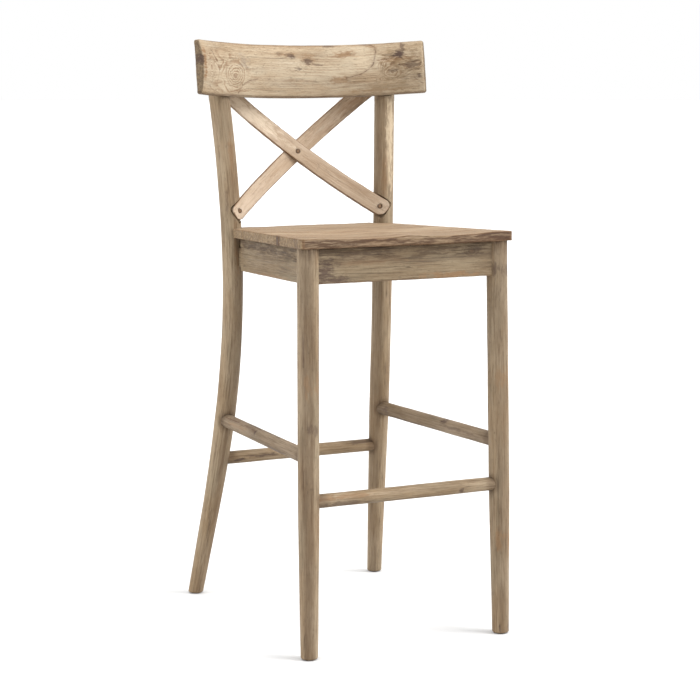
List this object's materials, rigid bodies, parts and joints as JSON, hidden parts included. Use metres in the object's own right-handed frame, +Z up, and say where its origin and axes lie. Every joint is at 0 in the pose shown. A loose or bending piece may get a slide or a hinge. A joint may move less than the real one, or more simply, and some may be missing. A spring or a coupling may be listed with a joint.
{
  "type": "bar stool with back",
  "caption": "Wooden bar stool with splayed round legs, footrest stretcher, board seat, bent crest rail and crossed back slats.",
  "frame": {"origin": "on the floor at the middle of the stool's outline", "axes": "+Z up, the sitter faces -Y, +X is to the right seen from the front; left and right in node names are as seen from the front"},
  "size_m": [0.4942, 0.565, 1.1137],
  "materials": {
    "seat_wood": "matt, weathered, unsealed look",
    "frame_wood": "matt, weathered, unsealed look",
    "apron_wood": "matt, weathered, unsealed look",
    "block_wood": "matt, weathered, unsealed look",
    "crest_wood": "matt, weathered, unsealed look",
    "slat_wood": "matt, weathered, unsealed look",
    "plug_wood": "matt, weathered, unsealed look",
    "screw_steel": "zinc plated",
    "glide_plastic": "matt"
  },
  "bodies": {
    "root": {"seat_board_front": "seat_wood", "seat_board_second": "seat_wood", "seat_board_third": "seat_wood", "seat_board_rear": "seat_wood", "front_left_leg": "frame_wood", "front_right_leg": "frame_wood", "rear_left_post": "frame_wood", "rear_right_post": "frame_wood", "front_footrest_stretcher": "frame_wood", "rear_stretcher": "frame_wood", "left_stretcher": "frame_wood", "right_stretcher": "frame_wood", "front_apron": "apron_wood", "rear_apron": "apron_wood", "left_apron": "apron_wood", "right_apron": "apron_wood", "front_left_corner_block": "block_wood", "front_right_corner_block": "block_wood", "rear_left_corner_block": "block_wood", "rear_right_corner_block": "block_wood", "crest_rail": "crest_wood", "back_slat_front": "slat_wood", "back_slat_rear": "slat_wood", "screw_plugs": "plug_wood", "corner_screws": "screw_steel", "seat_screws": "screw_steel", "slat_end_screws": "screw_steel", "slat_crossing_screw": "screw_steel", "crest_rail_screws": "screw_steel", "foot_glides": "glide_plastic"}
  },
  "joints": []
}
